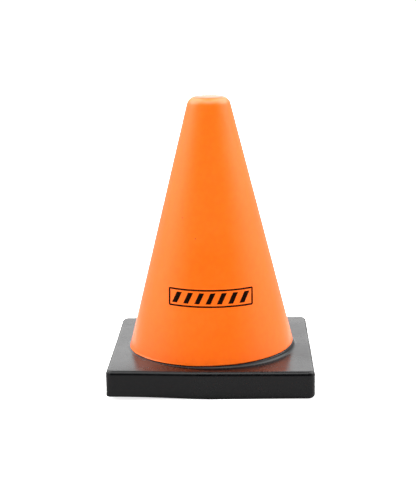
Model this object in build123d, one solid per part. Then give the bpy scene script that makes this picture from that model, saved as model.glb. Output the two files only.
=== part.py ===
from build123d import *
import math
import os

# A hand-sized foam traffic cone: two foam mouldings, a solid cone and a square slab, glued
# together at a spigot and socket, sprayed black on the base and orange on the cone, and
# pad-printed with a framed row of hazard bars on the front.
# Millimetres. +Z is up and -Y is the printed front. The origin is the middle of the slab's
# underside. Outer sizes are taken to the outside of the sprayed coats.

# Base slab
base_width = 73.0
base_depth = 73.0
base_thickness = 10.0
base_corner_radius = 2.5
base_top_edge_radius = 1.5
base_bottom_edge_radius = 0.9

# Cone, measured from the slab's top face
cone_height = 92.0
foot_radius = 30.4
tip_radius = 7.2  # where the side would meet the flat top if the edge were sharp
tip_edge_radius = 3.5
cone_forward = 1.3  # how far the cone's axis stands in front of the slab's centre

# Glue joint between the two mouldings
spigot_radius = 16.0
spigot_length = 4.5
spigot_lead_in = 0.8
glue_film = 0.3  # gap between the mouldings on every face of the joint, full of adhesive
foot_bead_radius = 1.2  # the smoothed fillet of adhesive around the cone's foot

# Sprayed coats, and the line where the orange stops above the slab's top face
coat_thickness = 0.3
mask_height_left = 0.15
mask_height_front = 0.6
mask_height_right = 1.7

# Printed panel
panel_width = 29.7
panel_height = 6.1
panel_line = 0.45
panel_above_base = 23.4  # from the slab's top face to the panel's middle
panel_shift = 0.55  # to the right of the cone's axis
bar_count = 7
bar_thickness = 1.5
bar_lean = 1.8  # sideways, from a bar's foot to its top
bar_margin = 0.65  # between the bars and the frame around them
ink_thickness = 0.1

# Worked out from the sizes above
cone_slope = (foot_radius - tip_radius) / cone_height
side_lean = math.atan(cone_slope)
cone_axis = Pos(0, -cone_forward, 0)
overlap = base_thickness / 2  # how far the bare cone form runs down inside the slab
past_everything = 3 * (base_width + base_thickness + cone_height)  # longer than the whole object


def side_radius(above_base, inset=0.0):
    """The cone's radius at a height above the slab's top face, on a side moved in by inset."""
    return foot_radius - above_base * cone_slope - inset / math.cos(side_lean)


def slab_form(inset=0.0):
    """The slab with rounded corners and edges, every face moved in by inset."""
    height = base_thickness - 2 * inset
    form = Pos(0, 0, base_thickness / 2) * Box(base_width - 2 * inset, base_depth - 2 * inset, height)
    form = fillet(form.edges().filter_by(Axis.Z), base_corner_radius - inset)
    form = fillet(form.faces().sort_by(Axis.Z)[-1].edges(), base_top_edge_radius - inset)
    return fillet(form.faces().sort_by(Axis.Z)[0].edges(), base_bottom_edge_radius - inset)


def cone_form(inset=0.0):
    """The cone with its rounded tip, every face moved in by inset, running down inside the slab."""
    top = cone_height - inset
    corners = [
        (0, -overlap),
        (side_radius(-overlap, inset), -overlap),
        (side_radius(top, inset), top),
        (0, top),
    ]
    profile = make_face(Polyline(*corners, close=True))
    tip_corner = profile.vertices().group_by(Axis.Y)[-1].sort_by(Axis.X)[-1]
    profile = fillet(tip_corner, tip_edge_radius - inset)
    turned = revolve(Plane.XZ * profile, axis=Axis.Z, revolution_arc=360)
    return cone_axis * Pos(0, 0, base_thickness) * turned


def whole_form(inset=0.0):
    """Slab, cone and the bead between them as one shape, every face moved in by inset."""
    form = slab_form(inset) + cone_form(inset)
    foot_circle = form.edges().filter_by(GeomType.CIRCLE).sort_by(SortBy.RADIUS)[-1]
    return fillet(foot_circle, foot_bead_radius + inset)


def above(height):
    """A block that holds everything over a height."""
    block = Box(past_everything, past_everything, past_everything)
    return Pos(0, 0, height + past_everything / 2) * block


def spigot_form(gap=0.0):
    """The round spigot under the cone, grown by gap all round and downwards."""
    top = base_thickness - coat_thickness + glue_film
    bottom = base_thickness - coat_thickness - spigot_length - gap
    post = Cylinder(spigot_radius + gap, top - bottom, align=(Align.CENTER, Align.CENTER, Align.MIN))
    post = chamfer(post.faces().sort_by(Axis.Z)[0].edges(), spigot_lead_in)
    return cone_axis * Pos(0, 0, bottom) * post


def make_base_core():
    """The slab moulding with its socket."""
    return slab_form(coat_thickness) - spigot_form(glue_film)


def make_cone_core():
    """The cone moulding with its spigot, standing one glue film above the slab moulding."""
    seat = base_thickness - coat_thickness + glue_film
    return (cone_form(coat_thickness) & above(seat)) + spigot_form()


def make_glue_layer(bare_form, base_core, cone_core):
    """What fills the joint: film in the socket and under the foot, and the bead round the foot."""
    return bare_form - base_core - cone_core


def mask_plane():
    """The slightly tilted plane that the orange coat stops on."""
    left = Vector(-foot_radius, -cone_forward, base_thickness + mask_height_left)
    right = Vector(foot_radius, -cone_forward, base_thickness + mask_height_right)
    front = Vector(0, -cone_forward - foot_radius, base_thickness + mask_height_front)
    across = right - left
    middle = (left + right) / 2
    return Plane(origin=middle, x_dir=across, z_dir=across.cross(middle - front))


def orange_zone():
    """The round space above the mask plane that the orange spray reaches, as wide as the bead."""
    column = cone_axis * Cylinder(foot_radius + foot_bead_radius, past_everything)
    return split(column, bisect_by=mask_plane(), keep=Keep.TOP)


def make_coats(bare_form):
    """The orange coat over the cone, and the black coat over the slab and the cone's foot."""
    coats = whole_form() - bare_form
    return coats & orange_zone(), coats - orange_zone()


def panel_outline():
    """The frame and the leaning bars, flat, centred on the origin."""
    inner_width = panel_width - 2 * panel_line
    inner_height = panel_height - 2 * panel_line
    shapes = Rectangle(panel_width, panel_height) - Rectangle(inner_width, inner_height)
    bar_half_height = inner_height / 2 - bar_margin
    run = inner_width - 2 * bar_margin - bar_thickness - bar_lean
    for number in range(bar_count):
        foot = -(run + bar_thickness + bar_lean) / 2 + run * number / (bar_count - 1)
        bar = Polyline(
            (foot, -bar_half_height),
            (foot + bar_thickness, -bar_half_height),
            (foot + bar_thickness + bar_lean, bar_half_height),
            (foot + bar_lean, bar_half_height),
            close=True,
        )
        shapes += make_face(bar)
    return shapes


def make_printed_panel():
    """The ink film, pressed straight back onto the front of the cone."""
    place = Pos(panel_shift, base_thickness + panel_above_base, 0)
    stamp = extrude(Plane.XZ * place * panel_outline(), amount=foot_radius + cone_forward)
    ink_skin = cone_form(-ink_thickness) - cone_form()
    return ink_skin & stamp


def main():
    bare_form = whole_form(coat_thickness)
    base_core = make_base_core()
    cone_core = make_cone_core()
    cone_coat, base_coat = make_coats(bare_form)
    nodes = {
        "base_core": base_core,
        "cone_core": cone_core,
        "glue_layer": make_glue_layer(bare_form, base_core, cone_core),
        "base_coat": base_coat,
        "cone_coat": cone_coat,
        "printed_panel": make_printed_panel(),
    }
    os.makedirs("parts", exist_ok=True)
    for name, shape in nodes.items():
        export_step(shape, f"parts/{name}.step")
        print(name, len(shape.solids()), "solids", round(shape.volume, 1), "mm3")


main()
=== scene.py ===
import math

import bmesh
import bpy
from mathutils import Matrix, Vector


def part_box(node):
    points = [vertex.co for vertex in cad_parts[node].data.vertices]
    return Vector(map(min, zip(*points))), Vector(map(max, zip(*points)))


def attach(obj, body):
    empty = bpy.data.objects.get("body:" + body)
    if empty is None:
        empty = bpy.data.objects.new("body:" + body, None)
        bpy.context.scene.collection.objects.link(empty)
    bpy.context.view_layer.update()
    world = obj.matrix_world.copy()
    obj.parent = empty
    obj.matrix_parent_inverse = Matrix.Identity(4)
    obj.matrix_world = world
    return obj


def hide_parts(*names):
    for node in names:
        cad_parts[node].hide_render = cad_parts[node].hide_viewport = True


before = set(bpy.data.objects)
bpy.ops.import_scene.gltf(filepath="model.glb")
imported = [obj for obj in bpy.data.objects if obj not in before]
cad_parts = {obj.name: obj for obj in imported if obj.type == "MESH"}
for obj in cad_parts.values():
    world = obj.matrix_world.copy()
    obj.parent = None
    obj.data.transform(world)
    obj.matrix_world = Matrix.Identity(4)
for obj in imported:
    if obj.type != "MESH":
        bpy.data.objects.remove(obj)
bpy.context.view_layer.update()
print("frame loaded")

mm = 0.001
pointJoin = 0.0001 * mm                   # points closer than this are one point
seamJoin = 0.0004 * mm                    # and this closes a grid's seam and poles


# small helpers for node trees

def put(tree, kind, inputs=None, **settings):
    node = tree.nodes.new(kind)
    for name, value in settings.items():
        setattr(node, name, value)
    for name, value in (inputs or {}).items():
        feed(tree, value, node.inputs[name])
    return node


def feed(tree, value, socket):
    # a socket is linked, and anything else is set as the plain value
    if isinstance(value, bpy.types.NodeSocket):
        tree.links.new(value, socket)
    else:
        socket.default_value = value


def calc(tree, operation, *values):
    node = put(tree, "ShaderNodeMath", operation=operation)
    for socket, value in zip(node.inputs, values):
        feed(tree, value, socket)
    return node.outputs[0]


def total(tree, *values):
    # adds any number of values up
    result = values[0]
    for value in values[1:]:
        result = calc(tree, "ADD", result, value)
    return result


def times(tree, *values):
    result = values[0]
    for value in values[1:]:
        result = calc(tree, "MULTIPLY", result, value)
    return result


def minus(tree, first, second):
    return calc(tree, "SUBTRACT", first, second)


def ratio(tree, first, second):
    return calc(tree, "DIVIDE", first, second)


def eased(tree, value, low, high):
    # 0 at low, 1 at high, and smooth between
    node = put(tree, "ShaderNodeMapRange", {
        "Value": value, "From Min": low, "From Max": high}, interpolation_type="SMOOTHSTEP")
    return node.outputs["Result"]


def vector(tree, x, y, z):
    return put(tree, "ShaderNodeCombineXYZ", {"X": x, "Y": y, "Z": z}).outputs[0]


def parts(tree, value):
    node = put(tree, "ShaderNodeSeparateXYZ", {"Vector": value})
    return node.outputs["X"], node.outputs["Y"], node.outputs["Z"]


def mixed(tree, share, first, second):
    # a straight mix of two vectors
    return put(tree, "ShaderNodeMix", {0: share, 4: first, 5: second}, data_type="VECTOR").outputs[1]


def vectorMath(tree, operation, first, second):
    # SCALE takes a number second; DOT_PRODUCT and DISTANCE give a number
    node = put(tree, "ShaderNodeVectorMath", operation=operation)
    feed(tree, first, node.inputs[0])
    feed(tree, second, node.inputs["Scale" if operation == "SCALE" else 1])
    return node.outputs["Value" if operation in ("DOT_PRODUCT", "DISTANCE") else "Vector"]


def noise(tree, place, scale, detail=2.0, roughness=0.5):
    node = put(tree, "ShaderNodeTexNoise", {
        "Vector": place, "Scale": scale, "Detail": detail, "Roughness": roughness})
    return node.outputs["Fac"]


def position(tree):
    return put(tree, "GeometryNodeInputPosition").outputs[0]


def inwards(tree, depth):
    # a step into the surface, as long as depth
    normal = put(tree, "GeometryNodeInputNormal").outputs[0]
    return vectorMath(tree, "SCALE", normal, times(tree, depth, -1.0))


def shifted(tree, geometry, offset, chosen=True):
    return put(tree, "GeometryNodeSetPosition", {
        "Geometry": geometry, "Selection": chosen, "Offset": offset}).outputs[0]


def placed(tree, geometry, where):
    return put(tree, "GeometryNodeSetPosition", {"Geometry": geometry, "Position": where}).outputs[0]


def kept(tree, geometry, name, value):
    # writes a value onto the points, for a finish or a later step to read
    return put(tree, "GeometryNodeStoreNamedAttribute", {
        "Geometry": geometry, "Name": name, "Value": value}, data_type="FLOAT", domain="POINT").outputs[0]


def recalled(tree, name):
    return put(tree, "GeometryNodeInputNamedAttribute", {"Name": name}, data_type="FLOAT").outputs[0]


def inScene(name, data):
    piece = bpy.data.objects.new(name, data)
    bpy.context.scene.collection.objects.link(piece)
    return piece


def geometryTree(name, sockets):
    # an empty geometry tree with named inputs, given as {kind: names}
    tree = bpy.data.node_groups.new(name, "GeometryNodeTree")
    tree.interface.new_socket("Geometry", in_out="OUTPUT", socket_type="NodeSocketGeometry")
    tree.interface.new_socket("Geometry", in_out="INPUT", socket_type="NodeSocketGeometry")
    for kind, labels in sockets.items():
        for label in labels:
            tree.interface.new_socket(label, in_out="INPUT", socket_type="NodeSocket" + kind)
    start = put(tree, "NodeGroupInput")
    end = put(tree, "NodeGroupOutput")
    return tree, start.outputs, end.inputs[0]


def finishTree(tree, geometry, material, end):
    # every tree ends as plain geometry that wears its material
    smooth = put(tree, "GeometryNodeSetShadeSmooth", {"Geometry": geometry})
    real = put(tree, "GeometryNodeRealizeInstances", {"Geometry": smooth.outputs[0]})
    worn = put(tree, "GeometryNodeSetMaterial", {"Geometry": real.outputs[0], "Material": material})
    tree.links.new(worn.outputs[0], end)


def grown(name, tree, inputs, values, start=None):
    # runs a tree on a mesh, or on an empty one, and keeps the result as a plain mesh object;
    # an input that isn't given takes the piece's value of the same name: "Bar lean" takes barLean
    piece = inScene(name, start or bpy.data.meshes.new(name))
    modifier = piece.modifiers.new(tree.name, "NODES")
    modifier.node_group = tree
    for item in tree.interface.items_tree:
        label = item.name
        if item.in_out == "INPUT" and label != "Geometry":
            key = label[0].lower() + label.title().replace(" ", "")[1:]
            modifier[item.identifier] = inputs[label] if label in inputs else values[key]
    settle(piece)
    return piece


def settle(piece):
    # turns what the modifiers make into the piece's own mesh
    bpy.context.view_layer.update()
    evaluated = piece.evaluated_get(bpy.context.evaluated_depsgraph_get())
    mesh = bpy.data.meshes.new_from_object(evaluated, depsgraph=bpy.context.evaluated_depsgraph_get())
    old = piece.data
    piece.modifiers.clear()
    piece.data = mesh
    mesh.name = piece.name
    bpy.data.meshes.remove(old)


def faceOutwards(piece):
    # joins what touches, and then turns every face outwards
    shape = bmesh.new()
    shape.from_mesh(piece.data)
    bmesh.ops.remove_doubles(shape, verts=shape.verts, dist=pointJoin)
    bmesh.ops.recalc_face_normals(shape, faces=shape.faces)
    shape.to_mesh(piece.data)
    shape.free()


def thicken(piece, thickness):
    # gives a skin its wall, inwards from its face
    wall = piece.modifiers.new("wall", "SOLIDIFY")
    wall.thickness = thickness
    wall.offset = -1
    wall.use_even_offset = True
    settle(piece)


def lineCurve(name, points):
    # a plain polyline that a tree can sample; it is never shown
    data = bpy.data.curves.new(name, "CURVE")
    data.dimensions = "3D"
    spline = data.splines.new("POLY")
    spline.points.add(len(points) - 1)
    for point, place in zip(spline.points, points):
        point.co = (*place, 1)
    return inScene(name, data)


def arc(centre, radius, start, end, steps):
    # points on an arc, as (across, 0, up)
    found = []
    for step in range(steps + 1):
        angle = start + (end - start) * step / steps
        found.append((centre[0] + radius * math.cos(angle), 0, centre[1] + radius * math.sin(angle)))
    return found


# sizes read from the frame

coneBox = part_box("cone_core")
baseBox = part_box("base_core")
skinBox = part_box("base_coat")
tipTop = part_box("cone_coat")[1].z
coat = baseBox[0].z                       # how thick both coats are
slabTop = baseBox[1].z + coat
slabHalf = (skinBox[1].x - skinBox[0].x) / 2
axis = (coneBox[0] + coneBox[1]) / 2      # the cone stands on this line
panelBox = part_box("printed_panel")

coneValues = {
    "tipRadius": 7.2 * mm,                # where the side would meet the flat tip
    "tipEdge": 3.5 * mm,
    "beadRadius": 1.2 * mm,
    "maskMiddle": 1.11 * mm,              # the paint line's height over the slab
    "maskAcross": 0.74 * mm,              # how much it rises to the right
    "maskBack": 0.325 * mm,               # and to the back
    "maskWave": 0.09 * mm,
    "ripple": 0.022 * mm,                 # soft unevenness of the sprayed skin
    "lip": 0.05 * mm,                     # how far the paint's edge rounds over
    "lipWidth": 0.28 * mm,
    "around": 256,
    "along": 150,
    "ringCrowd": 0.82,                    # how closely rings crowd at the tip and the paint line
    "lineScale": 3.4,                     # how busy the paint line's wave is
    "rippleScale": 55.0,
    "tipRub": (9 * mm, 6 * mm),           # rubbed from the tip's middle out to here
    "lineRub": (1.2 * mm, 0),             # and this close to the paint's edge
}
coreRadius = (coneBox[1].x - coneBox[0].x) / 2
lean = math.atan((coreRadius - coneValues["tipRadius"]) / (tipTop - slabTop))
for attempt in range(4):                  # the foot's radius and the side's lean settle together
    footRadius = coreRadius + coat / math.cos(lean)
    lean = math.atan((footRadius - coneValues["tipRadius"]) / (tipTop - slabTop))


def coneSection():
    # from the middle of the tip out and down to the toe of the bead
    v = coneValues
    edge = v["tipEdge"]
    bead = v["beadRadius"]
    up = tipTop - edge
    across = footRadius - (up - slabTop) * math.tan(lean) - edge / math.cos(lean)
    points = [(0, 0, tipTop)]
    points += arc((across, up), edge, math.pi / 2, lean, 24)
    toe = footRadius + bead / math.tan(math.pi / 4 + lean / 2)
    points += arc((toe, slabTop + bead), bead, math.pi + lean, 1.5 * math.pi, 16)
    return points


def sectionLength(points):
    return sum((Vector(b) - Vector(a)).length for a, b in zip(points, points[1:]))


def paintLine(tree, inputs, turn):
    # the paint line's height over the slab at a turn around the axis
    across = calc(tree, "COSINE", turn)
    back = calc(tree, "SINE", turn)
    wobble = noise(tree, vector(tree, across, back, inputs["Seed"]), coneValues["lineScale"], 3.0, 0.6)
    wave = minus(tree, wobble, 0.5)
    return total(tree,
                 inputs["Mask middle"],
                 times(tree, inputs["Mask across"], across),
                 times(tree, inputs["Mask back"], back),
                 times(tree, inputs["Mask wave"], wave, 2.0))


def upTheFoot(tree, inputs, height):
    # how far up the section from the bead's toe a height over the slab is
    bead = inputs["Bead radius"]
    turned = calc(tree, "ARCCOSINE", minus(tree, 1.0, ratio(tree, height, bead)))
    arcTurn = math.pi / 2 - lean
    arcHeight = times(tree, bead, 1 - math.sin(lean))
    above = calc(tree, "MAXIMUM", minus(tree, height, arcHeight), 0.0)
    onArc = times(tree, bead, calc(tree, "MINIMUM", turned, arcTurn))
    return total(tree, onArc, ratio(tree, above, math.cos(lean)))


def gridOf(tree, across, along):
    # a sheet of cells with its two steps, both from 0 to 1
    sheet = put(tree, "GeometryNodeMeshGrid", {
        "Size X": 1.0, "Size Y": 1.0, "Vertices X": across, "Vertices Y": along})
    x, y, unused = parts(tree, position(tree))
    return sheet.outputs["Mesh"], total(tree, x, 0.5), total(tree, y, 0.5)


def sampled(tree, curve, length):
    # the point at a length along a curve object
    info = put(tree, "GeometryNodeObjectInfo", {"Object": curve}, transform_space="ORIGINAL")
    found = put(tree, "GeometryNodeSampleCurve", {"Curves": info.outputs["Geometry"]}, mode="LENGTH")
    feed(tree, length, found.inputs["Length"])
    return found.outputs["Position"], found.outputs["Tangent"]


def aroundAxis(tree, inputs, turn, point):
    # a section point (across, 0, up) turned about the cone's axis
    across, unused, up = parts(tree, point)
    x = times(tree, across, calc(tree, "COSINE", turn))
    y = total(tree, inputs["Axis Y"], times(tree, across, calc(tree, "SINE", turn)))
    return vector(tree, x, y, up)


def rippled(tree, place, depth, seed, scale):
    # a step in by up to depth, soft and uneven
    cloud = put(tree, "ShaderNodeTexNoise", {
        "Vector": place, "W": seed, "Scale": scale, "Detail": 2.0, "Roughness": 0.5}, noise_dimensions="4D")
    return inwards(tree, times(tree, cloud.outputs["Fac"], depth))


warpValues = {
    "underLift": 1.35 * mm,               # how far the slab's front left corner has curled up
    "underCurl": 1.3,                     # higher keeps the curl nearer the corner
    "topLift": 0.55 * mm,
    "topReach": (-0.05, 1.0),             # where the lift starts and ends, in half widths to the left
    "topDip": 0.14 * mm,                  # and how far its front right has sunk
    "dipReach": (0.1, -0.9),
    "frontReach": (0.15, -0.9),           # in half widths to the back
    "fade": 11 * mm,                      # the cone is straight again this far over the slab
}


def warped(tree, geometry):
    # moves points by the slab's warp, which every skin and core shares
    v = warpValues
    x, y, z = parts(tree, position(tree))
    leftward = ratio(tree, x, -slabHalf)
    held = calc(tree, "MINIMUM", calc(tree, "MAXIMUM", leftward, 0.0), 1.0)
    curl = calc(tree, "POWER", calc(tree, "SINE", times(tree, held, math.pi / 2)), v["underCurl"])
    frontward = eased(tree, y, v["frontReach"][0] * slabHalf, v["frontReach"][1] * slabHalf)
    high = calc(tree, "MINIMUM", ratio(tree, z, slabTop), 1.0)
    gone = eased(tree, z, slabTop + v["fade"], slabTop)
    under = times(tree, curl, minus(tree, 1.0, high), v["underLift"])
    top = times(tree, eased(tree, leftward, *v["topReach"]), high, v["topLift"])
    dip = times(tree, eased(tree, leftward, *v["dipReach"]), high, -v["topDip"])
    lift = times(tree, total(tree, under, top, dip), frontward, gone)
    return shifted(tree, geometry, vector(tree, 0.0, 0.0, lift))


def merged(tree, geometry):
    # closes seams and poles, and turns the faces outwards
    closed = put(tree, "GeometryNodeMergeByDistance", {"Geometry": geometry, "Distance": seamJoin})
    return put(tree, "GeometryNodeFlipFaces", {"Mesh": closed.outputs[0]}).outputs[0]


# the number inputs that the cone's tree and the slab's tree share
paintSockets = (
    "Profile length", "Axis Y", "Bead radius", "Mask middle", "Mask across", "Mask back", "Mask wave",
    "Ripple", "Seed")


def paintInputs(material):
    # what the cone's skin and the slab's skin share, so that they meet on one paint line
    return {
        "Profile": coneProfile, "Profile length": profileLength, "Axis Y": axis.y,
        "Seed": 4.0, "Material": material,
    }


def coneSkinTree():
    # the cone's section turned about its axis, down to the wavering paint line
    tree, inputs, end = geometryTree("cone_skin_rule", {
        "Object": ("Profile",),
        "Float": (*paintSockets, "Lip", "Lip width", "Ring crowd"),
        "Int": ("Around", "Along"),
        "Material": ("Material",)})
    sheet, u, v = gridOf(tree, inputs["Around"], inputs["Along"])
    turn = times(tree, u, 2 * math.pi)
    swell = calc(tree, "SINE", times(tree, v, 2 * math.pi))
    crowd = times(tree, inputs["Ring crowd"], swell, 1 / (2 * math.pi))
    height = paintLine(tree, inputs, turn)
    reach = minus(tree, inputs["Profile length"], upTheFoot(tree, inputs, height))
    along = times(tree, minus(tree, v, crowd), reach)
    point, unused = sampled(tree, inputs["Profile"], along)
    toEdge = minus(tree, reach, along)
    tipRub = eased(tree, along, *coneValues["tipRub"])
    lineRub = eased(tree, toEdge, *coneValues["lineRub"])
    marked = kept(tree, kept(tree, sheet, "toEdge", toEdge), "edge", total(tree, tipRub, lineRub))
    whole = merged(tree, placed(tree, marked, aroundAxis(tree, inputs, turn, point)))
    ripple = rippled(tree, position(tree), inputs["Ripple"], inputs["Seed"], coneValues["rippleScale"])
    soft = shifted(tree, whole, ripple)
    rounded = minus(tree, 1.0, eased(tree, recalled(tree, "toEdge"), 0.0, inputs["Lip width"]))
    lipped = shifted(tree, soft, inwards(tree, times(tree, rounded, inputs["Lip"])))
    finishTree(tree, warped(tree, lipped), inputs["Material"], end)
    return tree


slabValues = {
    "cornerRadius": 2.5 * mm,
    "topEdge": 1.5 * mm,
    "sharpUnderEdge": 0.25 * mm,          # at the left, where the mould closed tight
    "softUnderEdge": 1.35 * mm,           # at the right
    "squared": 0.30 * mm,                 # how far the front left corner fills out, most at its foot
    "squaredFacing": (0.87, 0.99),        # cosines to that corner's own direction
    "groove": 0.27 * mm,                  # how deep the black dips just under the paint's edge
    "grooveWidth": 0.34 * mm,
    "grooveEnd": 1.45,                    # it has risen again at this many widths
    "rippleScale": 70.0,
    "floorGap": 0.2 * mm,                 # the underside below this height stays flat
    "nicks": 0.16 * mm,                   # how deep the worn edge is bitten
    "nickScale": 620.0,
    "nickAt": (0.655, 0.72),
    "nickMore": 0.09,                     # extra by the front left corner
    "nickLeft": (-0.90, -0.97),           # where that is, in half widths
    "nickFront": (-0.2, -0.8),
    "nickUp": (0.5, 0.8),                 # nicks stay over this share of the slab's height
    "rubMiddle": 0.105,                   # the top rounding's middle, along the edge ring
    "rubTop": (0.09, 0.02),
    "rubFoot": (0.86, 0.96),
    "around": 360,
    "cornerCrowd": 0.8,
    "bandRows": 30,
    "bandCrowd": 1.7,                     # higher puts more of those rows by the paint line
    "faceRows": 20,
    "edgeRows": 50,
    "underRows": 24,
}


def slabOutline():
    # a rounded square, from the middle of one corner round to it again
    radius = slabValues["cornerRadius"]
    flat = slabHalf - radius
    points = []
    for corner in range(5):
        first = corner * math.pi / 2
        x = flat * (1 if corner in (0, 3, 4) else -1)
        y = flat * (1 if corner in (0, 1, 4) else -1)
        steps = 24 if 0 < corner < 4 else 12
        start = first if corner else first + math.pi / 4
        stop = first + math.pi / 4 if corner == 4 else first + math.pi / 2
        for step in range(steps + 1):
            angle = start + (stop - start) * step / steps
            points.append((x + radius * math.cos(angle), y + radius * math.sin(angle), 0))
    return points


def edgeSection(underEdge):
    # over the slab's edge: out from the outline's line, and up
    top = slabValues["topEdge"]
    points = arc((-top, slabTop - top), top, math.pi / 2, 0, 10)
    points += arc((-underEdge, underEdge), underEdge, 0, -math.pi / 2, 10)
    return points


def slabSkinTree():
    # four rings of cells join up: black foot band, top face, edge, and underside
    given = slabValues
    tree, inputs, end = geometryTree("slab_skin_rule", {
        "Object": ("Profile", "Outline", "Sharp edge", "Soft edge"),
        "Float": (*paintSockets, "Groove", "Groove width", "Outline length", "Sharp length",
                  "Soft length", "Top edge", "Sharp radius", "Soft radius", "Squared", "Nicks",
                  "Slab top", "Toe radius", "Half width", "Corner crowd"),
        "Int": ("Around",),
        "Material": ("Material",)})

    def rim(u):
        # the outline's point, its outward direction, the turn to it from the cone's axis,
        # and how soft the lower edge is there
        swell = calc(tree, "SINE", times(tree, u, 8 * math.pi))
        crowd = times(tree, inputs["Corner crowd"], swell, 1 / (8 * math.pi))
        length = times(tree, minus(tree, u, crowd), inputs["Outline length"])
        point, tangent = sampled(tree, inputs["Outline"], length)
        out = vectorMath(tree, "CROSS_PRODUCT", tangent, (0, 0, 1))
        x, y, unused = parts(tree, point)
        turn = calc(tree, "ARCTAN2", minus(tree, y, inputs["Axis Y"]), x)
        softness = eased(tree, x, times(tree, inputs["Half width"], -1.0), inputs["Half width"])
        return point, out, turn, softness

    def moved(point, direction, distance, up):
        shift = vectorMath(tree, "SCALE", direction, distance)
        x, y, unused = parts(tree, vectorMath(tree, "ADD", point, shift))
        return vector(tree, x, y, up)

    def frontLeft(out):
        facing = vectorMath(tree, "DOT_PRODUCT", out, (-0.7071, -0.7071, 0))
        return eased(tree, facing, *given["squaredFacing"])

    def toe(turn):
        section = vector(tree, inputs["Toe radius"], 0.0, inputs["Slab top"])
        return aroundAxis(tree, inputs, turn, section)

    def onEdges(v):
        # strongest in the middle of the top rounding, and at the foot
        away = calc(tree, "ABSOLUTE", minus(tree, v, given["rubMiddle"]))
        return total(tree, eased(tree, away, *given["rubTop"]), eased(tree, v, *given["rubFoot"]))

    def ring(rows, place):
        sheet, u, v = gridOf(tree, inputs["Around"], rows)
        marked = kept(tree, sheet, "edge", onEdges(v) if place is edge else 0.0)
        return placed(tree, marked, place(u, v))

    def band(u, v):
        point, out, turn, softness = rim(u)
        up = upTheFoot(tree, inputs, paintLine(tree, inputs, turn))
        fromPaint = times(tree, up, calc(tree, "POWER", v, given["bandCrowd"]))
        length = minus(tree, inputs["Profile length"], minus(tree, up, fromPaint))
        found, unused = sampled(tree, inputs["Profile"], length)
        across, unused, height = parts(tree, found)
        grooveEnd = times(tree, inputs["Groove width"], given["grooveEnd"])
        sunk = times(tree, inputs["Groove"], eased(tree, fromPaint, grooveEnd, inputs["Groove width"]))
        return aroundAxis(tree, inputs, turn, vector(tree, minus(tree, across, sunk), 0.0, height))

    def face(u, v):
        point, out, turn, softness = rim(u)
        inner = moved(point, out, times(tree, inputs["Top edge"], -1.0), inputs["Slab top"])
        return mixed(tree, v, toe(turn), inner)

    def edge(u, v):
        point, out, turn, softness = rim(u)
        sharp, unused = sampled(tree, inputs["Sharp edge"], times(tree, v, inputs["Sharp length"]))
        soft, unused = sampled(tree, inputs["Soft edge"], times(tree, v, inputs["Soft length"]))
        across, unused, up = parts(tree, mixed(tree, softness, sharp, soft))
        low = eased(tree, up, inputs["Slab top"], 0.0)
        squared = times(tree, inputs["Squared"], frontLeft(out), low)
        return moved(point, out, total(tree, across, squared), up)

    def under(u, v):
        point, out, turn, softness = rim(u)
        more = times(tree, softness, minus(tree, inputs["Soft radius"], inputs["Sharp radius"]))
        radius = total(tree, inputs["Sharp radius"], more)
        squared = times(tree, inputs["Squared"], frontLeft(out))
        outer = moved(point, out, total(tree, times(tree, radius, -1.0), squared), 0.0)
        return mixed(tree, v, outer, (0, 0, 0))

    rings = put(tree, "GeometryNodeJoinGeometry")
    for rows, place in (("bandRows", band), ("faceRows", face), ("edgeRows", edge), ("underRows", under)):
        tree.links.new(ring(given[rows], place), rings.inputs[0])
    whole = merged(tree, rings.outputs[0])
    place = position(tree)
    x, y, z = parts(tree, place)
    clear = put(tree, "FunctionNodeCompare", {0: z, 1: given["floorGap"]},
                data_type="FLOAT", operation="GREATER_THAN").outputs[0]
    ripple = rippled(tree, place, inputs["Ripple"], inputs["Seed"], given["rippleScale"])
    soft = shifted(tree, whole, ripple, clear)
    # small nicks in the top edge, most of them near the front left corner
    leftward = eased(tree, x, *(share * slabHalf for share in given["nickLeft"]))
    frontward = eased(tree, y, *(share * slabHalf for share in given["nickFront"]))
    more = times(tree, leftward, frontward, given["nickMore"])
    chips = noise(tree, place, given["nickScale"])
    chipped = eased(tree, total(tree, chips, more), *given["nickAt"])
    upper = eased(tree, z, *(share * slabTop for share in given["nickUp"]))
    bite = inwards(tree, times(tree, chipped, recalled(tree, "edge"), upper, inputs["Nicks"]))
    finishTree(tree, warped(tree, shifted(tree, soft, bite)), inputs["Material"], end)
    return tree


panelValues = {
    "line": 0.54 * mm,
    "cornerRound": 0.22 * mm,
    "barCount": 7,
    "barThickness": 1.75 * mm,
    "barLean": 1.8 * mm,
    "barMargin": 0.65 * mm,
    "film": 0.035 * mm,
    "ragged": 0.035 * mm,                 # how far the ink's edge strays
    "raggedScale": 1400.0,
    "tilt": -0.35,                        # degrees
    "nudge": (-0.30 * mm, 0.14 * mm),     # the pad came down a little to the left and high
}


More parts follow.
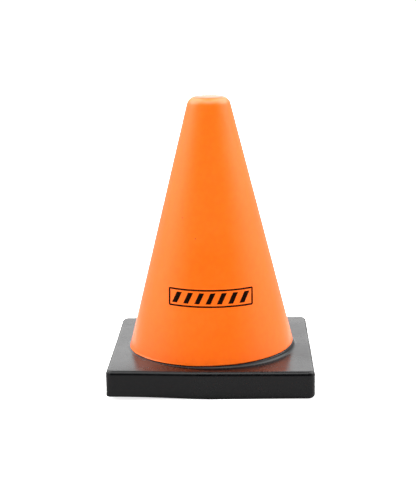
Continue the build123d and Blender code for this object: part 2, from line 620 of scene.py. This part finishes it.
def panelTree():
    # a frame and a row of leaning bars, drawn flat and pressed straight back onto the cone
    tree, inputs, end = geometryTree("panel_rule", {
        "Object": ("Skin",),
        "Vector": ("Centre",),
        "Float": ("Width", "Height", "Line", "Corner round", "Bar thickness", "Bar lean",
                  "Bar margin", "Ragged", "Tilt", "Seed"),
        "Int": ("Bar count",),
        "Material": ("Material",)})
    loop = put(tree, "GeometryNodeCurvePrimitiveQuadrilateral", {
        0: minus(tree, inputs["Width"], inputs["Line"]),
        1: minus(tree, inputs["Height"], inputs["Line"])}, mode="RECTANGLE")
    rounded = put(tree, "GeometryNodeFilletCurve", {
        "Curve": loop.outputs[0], "Radius": inputs["Corner round"], "Count": 4}, mode="POLY")
    fine = put(tree, "GeometryNodeSubdivideCurve", {"Curve": rounded.outputs[0], "Cuts": 60})
    half = times(tree, inputs["Line"], 0.5)
    stroke = put(tree, "GeometryNodeCurvePrimitiveLine", {
        "Start": vector(tree, times(tree, half, -1.0), 0.0, 0.0), "End": vector(tree, half, 0.0, 0.0)})
    strokeFine = put(tree, "GeometryNodeSubdivideCurve", {"Curve": stroke.outputs[0], "Cuts": 2})
    frameFlat = put(tree, "GeometryNodeCurveToMesh", {
        "Curve": fine.outputs[0], "Profile Curve": strokeFine.outputs[0]})

    bothLines = times(tree, inputs["Line"], 2.0)
    bothMargins = times(tree, inputs["Bar margin"], 2.0)
    barHeight = minus(tree, minus(tree, inputs["Height"], bothLines), bothMargins)
    run = total(tree, minus(tree, inputs["Width"], bothLines), times(tree, bothMargins, -1.0),
                times(tree, inputs["Bar thickness"], -1.0), times(tree, inputs["Bar lean"], -1.0))
    bar = put(tree, "GeometryNodeMeshGrid", {
        "Size X": inputs["Bar thickness"], "Size Y": barHeight, "Vertices X": 9, "Vertices Y": 19})
    unused, barY, unused = parts(tree, position(tree))
    shear = times(tree, inputs["Bar lean"], ratio(tree, barY, barHeight))
    leaning = shifted(tree, bar.outputs["Mesh"], vector(tree, shear, 0.0, 0.0))
    step = ratio(tree, run, minus(tree, inputs["Bar count"], 1.0))
    row = put(tree, "GeometryNodeMeshLine", {
        "Count": inputs["Bar count"], "Start Location": vector(tree, times(tree, run, -0.5), 0.0, 0.0),
        "Offset": vector(tree, step, 0.0, 0.0)}, mode="OFFSET")
    bars = put(tree, "GeometryNodeInstanceOnPoints", {"Points": row.outputs[0], "Instance": leaning})
    flat = put(tree, "GeometryNodeJoinGeometry")
    tree.links.new(bars.outputs[0], flat.inputs[0])
    tree.links.new(frameFlat.outputs[0], flat.inputs[0])
    real = put(tree, "GeometryNodeRealizeInstances", {"Geometry": flat.outputs[0]})

    place = position(tree)
    stray = put(tree, "ShaderNodeTexNoise", {
        "Vector": place, "W": inputs["Seed"], "Scale": panelValues["raggedScale"], "Detail": 1.0},
        noise_dimensions="4D").outputs["Color"]
    centred = vectorMath(tree, "SUBTRACT", stray, (0.5, 0.5, 0.5))
    strayed = vectorMath(tree, "SCALE", centred, times(tree, inputs["Ragged"], 2.0))
    drawn = shifted(tree, real.outputs[0], strayed)
    x, y, unused = parts(tree, place)
    lifted = total(tree, y, times(tree, x, inputs["Tilt"]))
    centreX, centreY, centreZ = parts(tree, inputs["Centre"])
    upright = placed(tree, drawn, vector(
        tree, total(tree, centreX, x), centreY, total(tree, centreZ, lifted)))
    skin = put(tree, "GeometryNodeObjectInfo", {"Object": inputs["Skin"]}, transform_space="ORIGINAL")
    hit = put(tree, "GeometryNodeRaycast", {
        "Target Geometry": skin.outputs["Geometry"], "Ray Direction": (0, 1, 0), "Ray Length": 0.2})
    finishTree(tree, placed(tree, upright, hit.outputs["Hit Position"]), inputs["Material"], end)
    return tree


# shader groups that several finishes share

def shaderGroup(name, inputs, outputs):
    # an empty group that reads a place and named values, and puts out masks
    tree = bpy.data.node_groups.new(name, "ShaderNodeTree")
    tree.interface.new_socket("Vector", in_out="INPUT", socket_type="NodeSocketVector")
    for way, labels in (("INPUT", (*inputs, "Seed")), ("OUTPUT", outputs)):
        for label in labels:
            tree.interface.new_socket(label, in_out=way, socket_type="NodeSocketFloat")
    start = put(tree, "NodeGroupInput")
    end = put(tree, "NodeGroupOutput")
    return tree, start.outputs, end.inputs


def seeded(tree, inputs):
    # the group's place, moved away by its seed, so that each finish has its own pattern
    away = vectorMath(tree, "SCALE", (0.37, 0.71, 0.53), inputs["Seed"])
    return vectorMath(tree, "ADD", inputs["Vector"], away)


patternValues = {                         # the pairs are where a mask starts and where it is full
    "cellDepth": -0.45,
    "cloudScale": 0.6,                    # beside the cells' own scale
    "hollowsAt": (0.35, 0.75),
    "cloudAt": (0.3, 0.7),
    "fleckScale": 9.0,                    # beside the clouds' own scale
    "flecksAt": (0.42, 0.72),
    "pitRim": 0.55,                       # a pit is full from this share of its size inwards
    "speckRim": 0.5,
    "driftScale": 1100.0,
    "drift": 1.1 * mm,                    # how far dust is pulled out of round
    "upAt": (-0.4, 0.9),                  # dust lies on what looks up
    "bowScale": 14.0,                     # how the scratches bend
    "bow": 20 * mm,
    "stretch": 0.035,                     # smaller makes the scratches longer
    "scratchAt": (0.66, 0.74),
    "patchScale": 45.0,
    "patchAt": (0.5, 0.62),
    "brokenScale": 420.0,                 # how finely worn edges are broken up
    "brokenAt": (0.45, 0.66),
    "broadScale": 70.0,
}


def makeSkinGrain():
    # the fine pebbled face of moulded foam under its coat
    v = patternValues
    tree, inputs, end = shaderGroup("skinGrain", ("Scale",), ("Height", "Hollows"))
    place = seeded(tree, inputs)
    cells = put(tree, "ShaderNodeTexVoronoi", {"Vector": place, "Scale": inputs["Scale"]}).outputs["Distance"]
    cloud = noise(tree, place, times(tree, inputs["Scale"], v["cloudScale"]), 1.0)
    feed(tree, total(tree, times(tree, cells, v["cellDepth"]), cloud), end["Height"])
    feed(tree, eased(tree, cells, *v["hollowsAt"]), end["Hollows"])
    return tree


def makeSprayMottle():
    # broad clouds where the spray lies thicker or thinner, and the finer unevenness between them
    v = patternValues
    tree, inputs, end = shaderGroup("sprayMottle", ("Scale",), ("Cloud", "Flecks"))
    place = seeded(tree, inputs)
    broad = noise(tree, place, inputs["Scale"], 1.0)
    fine = noise(tree, place, times(tree, inputs["Scale"], v["fleckScale"]), 2.0, 0.65)
    feed(tree, eased(tree, broad, *v["cloudAt"]), end["Cloud"])
    feed(tree, eased(tree, fine, *v["flecksAt"]), end["Flecks"])
    return tree


def makePinPits():
    # sparse tiny pits that the foam's gas leaves in a coat
    v = patternValues
    tree, inputs, end = shaderGroup("pinPits", ("Scale", "Share", "Size"), ("Pits", "Depth"))
    place = seeded(tree, inputs)
    cells = put(tree, "ShaderNodeTexVoronoi", {"Vector": place, "Scale": inputs["Scale"]})
    picked, unused, size = parts(tree, cells.outputs["Color"])
    chosen = calc(tree, "LESS_THAN", picked, inputs["Share"])
    reach = times(tree, inputs["Size"], total(tree, 0.5, size))
    inside = eased(tree, cells.outputs["Distance"], reach, times(tree, reach, v["pitRim"]))
    pits = times(tree, inside, chosen)
    feed(tree, pits, end["Pits"])
    feed(tree, times(tree, pits, -1.0), end["Depth"])
    return tree


def makeDustSpecks():
    # fine lint and dust, thickest on faces that look up
    v = patternValues
    tree, inputs, end = shaderGroup("dustSpecks", ("Scale", "Share", "Size"), ("Specks",))
    place = seeded(tree, inputs)
    drift = put(tree, "ShaderNodeTexNoise", {"Vector": place, "Scale": v["driftScale"], "Detail": 0.0})
    bent = vectorMath(tree, "SCALE", drift.outputs["Color"], v["drift"])
    place = vectorMath(tree, "ADD", place, bent)
    cells = put(tree, "ShaderNodeTexVoronoi", {"Vector": place, "Scale": inputs["Scale"]})
    picked, size, unused = parts(tree, cells.outputs["Color"])
    upwards = parts(tree, put(tree, "ShaderNodeNewGeometry").outputs["Normal"])[2]
    share = times(tree, inputs["Share"], eased(tree, upwards, *v["upAt"]))
    chosen = calc(tree, "LESS_THAN", picked, share)
    reach = times(tree, inputs["Size"], total(tree, 0.35, size))
    inside = eased(tree, cells.outputs["Distance"], reach, times(tree, reach, v["speckRim"]))
    feed(tree, times(tree, inside, chosen), end["Specks"])
    return tree


def makeHandlingMarks():
    # faint scratches in loose arcs, only in some places
    v = patternValues
    tree, inputs, end = shaderGroup("handlingMarks", ("Spacing", "Share"), ("Scratches",))
    place = seeded(tree, inputs)
    x, y, z = parts(tree, place)
    bow = times(tree, noise(tree, place, v["bowScale"], 0.0), v["bow"])
    along = times(tree, x, v["stretch"])
    swept = vector(tree, along, total(tree, y, bow), total(tree, z, bow))
    streaks = noise(tree, swept, inputs["Spacing"], 1.0, 0.6)
    lines = eased(tree, streaks, *v["scratchAt"])
    patches = eased(tree, noise(tree, place, v["patchScale"], 1.0), *v["patchAt"])
    feed(tree, times(tree, lines, patches, inputs["Share"]), end["Scratches"])
    return tree


def makeEdgeRub():
    # wear on the edges that hands and tables touch, broken up so that it is never an even line
    v = patternValues
    tree, inputs, end = shaderGroup("edgeRub", ("Edge", "Amount"), ("Rub",))
    place = seeded(tree, inputs)
    broken = eased(tree, noise(tree, place, v["brokenScale"], 2.0, 0.65), *v["brokenAt"])
    broad = eased(tree, noise(tree, place, v["broadScale"], 1.0), *v["cloudAt"])
    feed(tree, times(tree, inputs["Edge"], broken, broad, inputs["Amount"]), end["Rub"])
    return tree


skinGrain = makeSkinGrain()
sprayMottle = makeSprayMottle()
pinPits = makePinPits()
dustSpecks = makeDustSpecks()
handlingMarks = makeHandlingMarks()
edgeRub = makeEdgeRub()


def finish(name, values):
    # a material with a plain Principled shader and its own Object coordinates
    material = bpy.data.materials.new(name)
    material.use_nodes = True
    tree = material.node_tree
    shader = tree.nodes["Principled BSDF"]
    shader.inputs["Roughness"].default_value = values["roughness"]
    shader.inputs["IOR"].default_value = values["ior"]
    place = put(tree, "ShaderNodeTexCoord").outputs["Object"]
    return material, tree, shader, place


def tinted(tree, share, first, second):
    # a colour mix; each colour is (r, g, b) or a socket
    node = put(tree, "ShaderNodeMix", data_type="RGBA")
    feed(tree, share, node.inputs[0])
    for socket, colour in ((node.inputs[6], first), (node.inputs[7], second)):
        feed(tree, (*colour, 1) if isinstance(colour, tuple) else colour, socket)
    return node.outputs[2]


def patterned(tree, place, patterns):
    # places the shader groups of a finish and gathers what they put out, by name
    masks = {}
    for group, settings in patterns:
        node = put(tree, "ShaderNodeGroup", {**settings, "Vector": place}, node_tree=group)
        if group == edgeRub:              # it reads the edges that the skin's tree marked
            marked = put(tree, "ShaderNodeAttribute", attribute_name="edge").outputs["Fac"]
            feed(tree, marked, node.inputs["Edge"])
        masks.update({output.name: output for output in node.outputs})
    return masks


def spotsAt(tree, place, middles, reach):
    # 1 at each of these points of the surface, and 0 beyond their reach
    spots = []
    for middle in middles:
        away = vectorMath(tree, "DISTANCE", place, middle)
        spots.append(eased(tree, away, *reach))
    return total(tree, *spots)


def weighed(tree, masks, weights):
    # a sum of masks, each times its weight
    values = [masks[name] if weight == 1 else times(tree, masks[name], weight)
              for name, weight in weights.items()]
    return total(tree, *values)


def coated(name, v):
    # a finish built from its patterns: tints laid over each other, and sums for roughness and relief
    material, tree, shader, place = finish(name, v)
    masks = patterned(tree, place, v["patterns"])
    if "pinholes" in v:
        # the Top mask marks faces that look up, for a painted shade on the flat tip
        upwards = parts(tree, put(tree, "ShaderNodeNewGeometry").outputs["Normal"])[2]
        masks["Top"] = eased(tree, upwards, *v["topFacing"])
        masks["Pinholes"] = spotsAt(tree, place, v["pinholes"], v["pinholeReach"])
    colour = v["colour"]
    for weights, tint in v["tints"]:
        colour = tinted(tree, weighed(tree, masks, weights), colour, tint)
    tree.links.new(colour, shader.inputs["Base Color"])
    if "rougher" in v:
        rough = total(tree, v["roughness"], weighed(tree, masks, v["rougher"]))
        tree.links.new(rough, shader.inputs["Roughness"])
    height = weighed(tree, masks, v["heights"])
    bump = put(tree, "ShaderNodeBump", {"Distance": v["relief"], "Height": height})
    tree.links.new(bump.outputs[0], shader.inputs["Normal"])
    return material


# colours are linear; each tint is laid over the ones before it, as far as its masks say

deepOrange = (0.90, 0.134, 0.0028)
pitBrown = (0.35, 0.035, 0.003)
orangeValues = {
    "colour": deepOrange,
    "tints": (
        ({"Cloud": 0.7, "Flecks": 0.3}, (0.94, 0.147, 0.0036)),
        ({"Hollows": 0.06}, pitBrown),
        ({"Pits": 0.8}, pitBrown),
        ({"Rub": 0.35}, deepOrange),
        ({"Top": 1}, (0.50, 0.070, 0.0024)),      # painted shade: faces that look up, the flat tip, are darkened so that they show less light
        ({"Specks": 0.6}, (0.75, 0.55, 0.42)),
        ({"Pinholes": 0.85}, pitBrown),
    ),
    "patterns": (
        (sprayMottle, {"Scale": 38.0, "Seed": 1.0}),
        (skinGrain, {"Scale": 620.0, "Seed": 2.0}),
        (pinPits, {"Scale": 150.0, "Share": 0.035, "Size": 0.055, "Seed": 3.0}),
        (dustSpecks, {"Scale": 300.0, "Share": 0.012, "Size": 0.07, "Seed": 4.0}),
        (edgeRub, {"Amount": 0.5, "Seed": 5.0}),
    ),
    # cosines of the upward faces that get the painted shade
    "topFacing": (0.84, 1.0),
    "pinholes": ((-9.5 * mm, -16.1 * mm, 60.7 * mm), (-4.9 * mm, -20.0 * mm, 53.9 * mm)),
    "pinholeReach": (0.30 * mm, 0.12 * mm),
    "roughness": 0.31,
    "rougher": {"Cloud": 0.06, "Pinholes": 0.3, "Flecks": 0.04, "Pits": 0.3, "Rub": -0.05},
    "ior": 1.45,
    "heights": {"Height": 1, "Depth": 4.0, "Cloud": 0.5, "Pinholes": -6.0},
    "relief": 0.016 * mm,
}

wornBlack = (0.0042, 0.0042, 0.0049)
blackValues = {
    "colour": (0.0011, 0.0011, 0.0015),
    "tints": (
        ({"Flecks": 0.6}, wornBlack),
        ({"Scratches": 0.5}, wornBlack),
        ({"Rub": 0.7}, wornBlack),
        ({"Specks": 0.55}, (0.30, 0.29, 0.28)),
    ),
    "patterns": (
        (sprayMottle, {"Scale": 55.0, "Seed": 11.0}),
        (skinGrain, {"Scale": 760.0, "Seed": 12.0}),
        (pinPits, {"Scale": 210.0, "Share": 0.05, "Size": 0.07, "Seed": 13.0}),
        (dustSpecks, {"Scale": 430.0, "Share": 0.05, "Size": 0.09, "Seed": 14.0}),
        (handlingMarks, {"Spacing": 620.0, "Share": 0.6, "Seed": 15.0}),
        (edgeRub, {"Amount": 1.0, "Seed": 16.0}),
    ),
    "roughness": 0.22,
    "rougher": {"Cloud": 0.07, "Flecks": 0.05, "Scratches": 0.12, "Rub": 0.12, "Specks": 0.4},
    "ior": 1.27,
    "heights": {"Height": 1, "Depth": 3.0, "Cloud": 1.5, "Scratches": -0.5, "Specks": 0.8},
    "relief": 0.009 * mm,
}

thinInk = (0.09, 0.022, 0.006)            # where the orange shows through a thin spot
inkValues = {
    "colour": (0.0034, 0.0021, 0.0015),
    "tints": (({"Flecks": 0.22}, thinInk), ({"Pits": 0.75}, thinInk)),
    "patterns": (
        (sprayMottle, {"Scale": 260.0, "Seed": 21.0}),
        (skinGrain, {"Scale": 1500.0, "Seed": 22.0}),
        (pinPits, {"Scale": 1300.0, "Share": 0.16, "Size": 0.3, "Seed": 23.0}),
    ),
    "roughness": 0.51,
    "rougher": {"Cloud": 0.1, "Pits": 0.2},
    "ior": 1.06,
    "heights": {"Height": 1, "Depth": 1.5},
    "relief": 0.006 * mm,
}

foamCell = (0.52, 0.44, 0.30)
foamValues = {                            # the bare open-celled foam under the coats
    "colour": (0.80, 0.74, 0.60),
    "tints": (({"Hollows": 1}, foamCell), ({"Pits": 0.8}, foamCell), ({"Cloud": 0.25}, foamCell)),
    "patterns": (
        (sprayMottle, {"Scale": 90.0, "Seed": 31.0}),
        (skinGrain, {"Scale": 1100.0, "Seed": 32.0}),
        (pinPits, {"Scale": 480.0, "Share": 0.5, "Size": 0.42, "Seed": 33.0}),
    ),
    "roughness": 0.88,
    "ior": 1.5,
    "heights": {"Height": 1, "Depth": 1},
    "relief": 0.2 * mm,
}

cloudyGlue = (0.78, 0.70, 0.50)
glueValues = {                            # dried contact adhesive, cloudy where it was worked
    "colour": (0.62, 0.47, 0.20),
    "tints": (({"Cloud": 1}, cloudyGlue), ({"Flecks": 0.3}, cloudyGlue)),
    "patterns": (
        (sprayMottle, {"Scale": 150.0, "Seed": 41.0}),
        (skinGrain, {"Scale": 380.0, "Seed": 42.0}),
    ),
    "roughness": 0.24,
    "rougher": {"Flecks": 0.2},
    "ior": 1.47,
    "heights": {"Height": 1},
    "relief": 0.03 * mm,
}

orangeCoat = coated("orange_coat", orangeValues)
blackCoat = coated("black_coat", blackValues)
blackInk = coated("black_ink", inkValues)
creamFoam = coated("cream_foam", foamValues)
amberGlue = coated("amber_glue", glueValues)
print("finishes made")


foamCoreValues = {
    "voxel": 0.75 * mm,
    "settle": 0.12 * mm,                  # how far the bare foam keeps inside its coat
    "cellDepth": 0.3 * mm,
    "cellScale": 520.0,
    "cellWall": (0.55, 0.15),             # from a cell's wall to its open middle
}


def foamCellsTree():
    # moves a foam core's skin in by a small even gap and then into its open cells
    tree, inputs, end = geometryTree("foam_cells_rule", {
        "Float": ("Settle", "Cell depth", "Cell scale", "Seed"), "Material": ("Material",)})
    cells = put(tree, "ShaderNodeTexVoronoi", {
        "Vector": position(tree), "W": inputs["Seed"], "Scale": inputs["Cell scale"]},
        voronoi_dimensions="4D").outputs["Distance"]
    hollow = eased(tree, cells, *foamCoreValues["cellWall"])
    depth = total(tree, inputs["Settle"], times(tree, hollow, inputs["Cell depth"]))
    moved = shifted(tree, inputs["Geometry"], inwards(tree, depth))
    finishTree(tree, warped(tree, moved), inputs["Material"], end)
    return tree


def foamCore(name, node, tree, seed):
    # a copy of the core, closed, remeshed evenly, and given its cells
    v = foamCoreValues
    copy = inScene(name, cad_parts[node].data.copy())
    faceOutwards(copy)
    evened = copy.modifiers.new("evened", "REMESH")
    evened.mode = "VOXEL"
    evened.voxel_size = v["voxel"]
    settle(copy)
    mesh = copy.data
    bpy.data.objects.remove(copy)
    return grown(name, tree, {"Seed": seed, "Material": creamFoam}, v, mesh)


foamCells = foamCellsTree()
foamCone = foamCore("foam_cone", "cone_core", foamCells, 1.0)
foamBase = foamCore("foam_base", "base_core", foamCells, 2.0)
print("foam cores made:", len(foamCone.data.polygons), "and", len(foamBase.data.polygons), "faces")

section = coneSection()
coneProfile = lineCurve("cone_profile", section)
profileLength = sectionLength(section)

coneSkin = grown("cone_skin", coneSkinTree(), {
    **paintInputs(orangeCoat), "Around": coneValues["around"] + 1}, coneValues)
faceOutwards(coneSkin)
thicken(coneSkin, coat)
print("cone skin made:", len(coneSkin.data.polygons), "faces")

outline = slabOutline()
outlineCurve = lineCurve("slab_outline", outline)
sharpSection = edgeSection(slabValues["sharpUnderEdge"])
softSection = edgeSection(slabValues["softUnderEdge"])
sharpCurve = lineCurve("sharp_edge", sharpSection)
softCurve = lineCurve("soft_edge", softSection)
slabSkin = grown("slab_skin", slabSkinTree(), {
    **paintInputs(blackCoat),
    "Outline": outlineCurve, "Outline length": sectionLength(outline),
    "Sharp edge": sharpCurve, "Sharp length": sectionLength(sharpSection),
    "Soft edge": softCurve, "Soft length": sectionLength(softSection),
    "Sharp radius": slabValues["sharpUnderEdge"], "Soft radius": slabValues["softUnderEdge"],
    "Slab top": slabTop, "Toe radius": section[-1][0], "Half width": slabHalf,
    "Around": slabValues["around"] + 1}, {**coneValues, **slabValues})
faceOutwards(slabSkin)
thicken(slabSkin, coat)
print("slab skin made:", len(slabSkin.data.polygons), "faces")

panelCentre = (panelBox[0] + panelBox[1]) / 2
panelCentre.x += panelValues["nudge"][0]
panelCentre.y = 2 * axis.y - 2 * footRadius    # well in front of the cone, where the pressing starts
panelCentre.z += panelValues["nudge"][1]
panel = grown("hazard_panel", panelTree(), {
    "Skin": coneSkin, "Centre": panelCentre,
    "Width": panelBox[1].x - panelBox[0].x, "Height": panelBox[1].z - panelBox[0].z,
    "Tilt": math.tan(math.radians(panelValues["tilt"])), "Seed": 2.0, "Material": blackInk}, panelValues)
faceOutwards(panel)
thicken(panel, -panelValues["film"])
print("printed panel made:", len(panel.data.polygons), "faces")

for helper in (coneProfile, outlineCurve, sharpCurve, softCurve):
    bpy.data.objects.remove(helper)

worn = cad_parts["glue_layer"].data.materials
worn.clear()
worn.append(amberGlue)

for piece, node, slotName in (
        (coneSkin, "cone_coat", "orange_coat"), (slabSkin, "base_coat", "black_coat"),
        (panel, "printed_panel", "black_ink"), (foamCone, "cone_core", "foam"),
        (foamBase, "base_core", "foam")):
    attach(piece, "root")
    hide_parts(node)
print("pieces in place")


studioValues = {
    "floorSize": 6.0,
    "sideLight": 0.8,
    "backLight": 2.3,
    "backAim": (0, 0.94, 0.34),
    "frontLight": 0.04,
    "frontAim": (0, -0.98, 0.2),
    "frontWide": (0.22, 0.86),            # cosines between which the front falls off
    "backWide": (0.88, 0.97),
    "highLight": 5.4,                     # two broad lights high at the sides
    "highAim": (0.645, 0.205, 0.736),
    "highWide": (0.76, 0.97),
    "softboxSize": 0.48,
    "softboxPlace": (0, -0.24, 0.70),
    "softboxPower": 3.9,
    "paper": 0.9,
    "paperShade": 0.20,                   # how light the floor is in reflections
    "nearShade": 0.55,                    # and close round the slab
    "nearReach": (0.13, 0.07),
    "paperBounce": 0.42,                  # and how much light it throws back up
    "paperGlow": 0.80,                    # the floor's own light, which only the camera sees
    "backdrop": 1.05,                     # and how white the room behind it looks
}
paperValues = {"roughness": 0.9, "ior": 1.5}


def buildFloor():
    v = studioValues
    half = v["floorSize"] / 2
    mesh = bpy.data.meshes.new("floor")
    corners = [(-half, -half, 0), (half, -half, 0), (half, half, 0), (-half, half, 0)]
    mesh.from_pydata(corners, [], [(0, 1, 2, 3)])
    floor = inScene("floor", mesh)
    material, tree, shader, place = finish("white_paper", paperValues)
    path = put(tree, "ShaderNodeLightPath").outputs
    shown = path["Is Camera Ray"]
    tones = ("paperShade", "nearShade", "paperBounce", "paper")
    shade, near, bounce, paper = ((v[tone],) * 3 for tone in tones)
    x, y, unused = parts(tree, place)
    away = calc(tree, "MAXIMUM", calc(tree, "ABSOLUTE", x), calc(tree, "ABSOLUTE", y))
    glossy = tinted(tree, eased(tree, away, *v["nearReach"]), shade, near)
    unseen = tinted(tree, path["Is Glossy Ray"], bounce, glossy)
    tree.links.new(tinted(tree, shown, unseen, paper), shader.inputs["Base Color"])
    shader.inputs["Specular IOR Level"].default_value = 0.0
    shader.inputs["Emission Color"].default_value = (1, 1, 1, 1)
    feed(tree, times(tree, shown, v["paperGlow"]), shader.inputs["Emission Strength"])
    mesh.materials.append(material)


def buildWorld():
    # a bright room behind and beside, and a darker one in front
    v = studioValues
    world = bpy.data.worlds.new("studio")
    world.use_nodes = True
    tree = world.node_tree
    tree.nodes.clear()
    direction = put(tree, "ShaderNodeTexCoord").outputs["Generated"]
    front = vectorMath(tree, "DOT_PRODUCT", direction, v["frontAim"])
    back = vectorMath(tree, "DOT_PRODUCT", direction, v["backAim"])
    dark = eased(tree, front, *v["frontWide"])
    bright = eased(tree, back, *v["backWide"])
    room = total(tree, v["sideLight"], times(tree, dark, v["frontLight"] - v["sideLight"]),
                 times(tree, bright, v["backLight"] - v["sideLight"]))
    for side in (-1, 1):
        aim = (side * v["highAim"][0], v["highAim"][1], v["highAim"][2])
        near = vectorMath(tree, "DOT_PRODUCT", direction, aim)
        room = total(tree, room, times(tree, eased(tree, near, *v["highWide"]), v["highLight"]))
    shown = put(tree, "ShaderNodeLightPath").outputs["Is Camera Ray"]
    strength = total(tree, room, times(tree, shown, minus(tree, v["backdrop"], room)))
    light = put(tree, "ShaderNodeBackground", {"Color": (1, 1, 1, 1), "Strength": strength})
    put(tree, "ShaderNodeOutputWorld", {"Surface": light.outputs[0]})
    bpy.context.scene.world = world


def buildSoftbox():
    v = studioValues
    lamp = bpy.data.lights.new("softbox", "AREA")
    lamp.shape = "SQUARE"
    lamp.size = v["softboxSize"]
    lamp.energy = v["softboxPower"]
    softbox = inScene("softbox", lamp)
    softbox.location = v["softboxPlace"]
    aim = Vector((0, 0, tipTop)) - Vector(v["softboxPlace"])
    softbox.rotation_euler = aim.to_track_quat("-Z", "Y").to_euler()


cameraValues = {
    "place": (0.0119, -0.4760, 0.15203),
    "yaw": 0.02723,
    "pitch": -0.22035,
    "roll": 0.01501,
    "lens": 95.66,
    "clip": (0.01, 20),
}


def buildCamera():
    v = cameraValues
    data = bpy.data.cameras.new("camera")
    data.lens = v["lens"]
    data.clip_start, data.clip_end = v["clip"]
    camera = inScene("camera", data)
    turned = Matrix.Rotation(v["yaw"], 4, "Z") @ Matrix.Rotation(v["pitch"], 4, "X")
    aim = turned @ Matrix.Rotation(v["roll"], 4, "Y")
    camera.matrix_world = Matrix.Translation(v["place"]) @ aim @ Matrix.Rotation(math.pi / 2, 4, "X")
    bpy.context.scene.camera = camera


buildFloor()
buildWorld()
buildSoftbox()
buildCamera()
print("studio and camera set")
bpy.context.scene.view_settings.view_transform = "Standard"
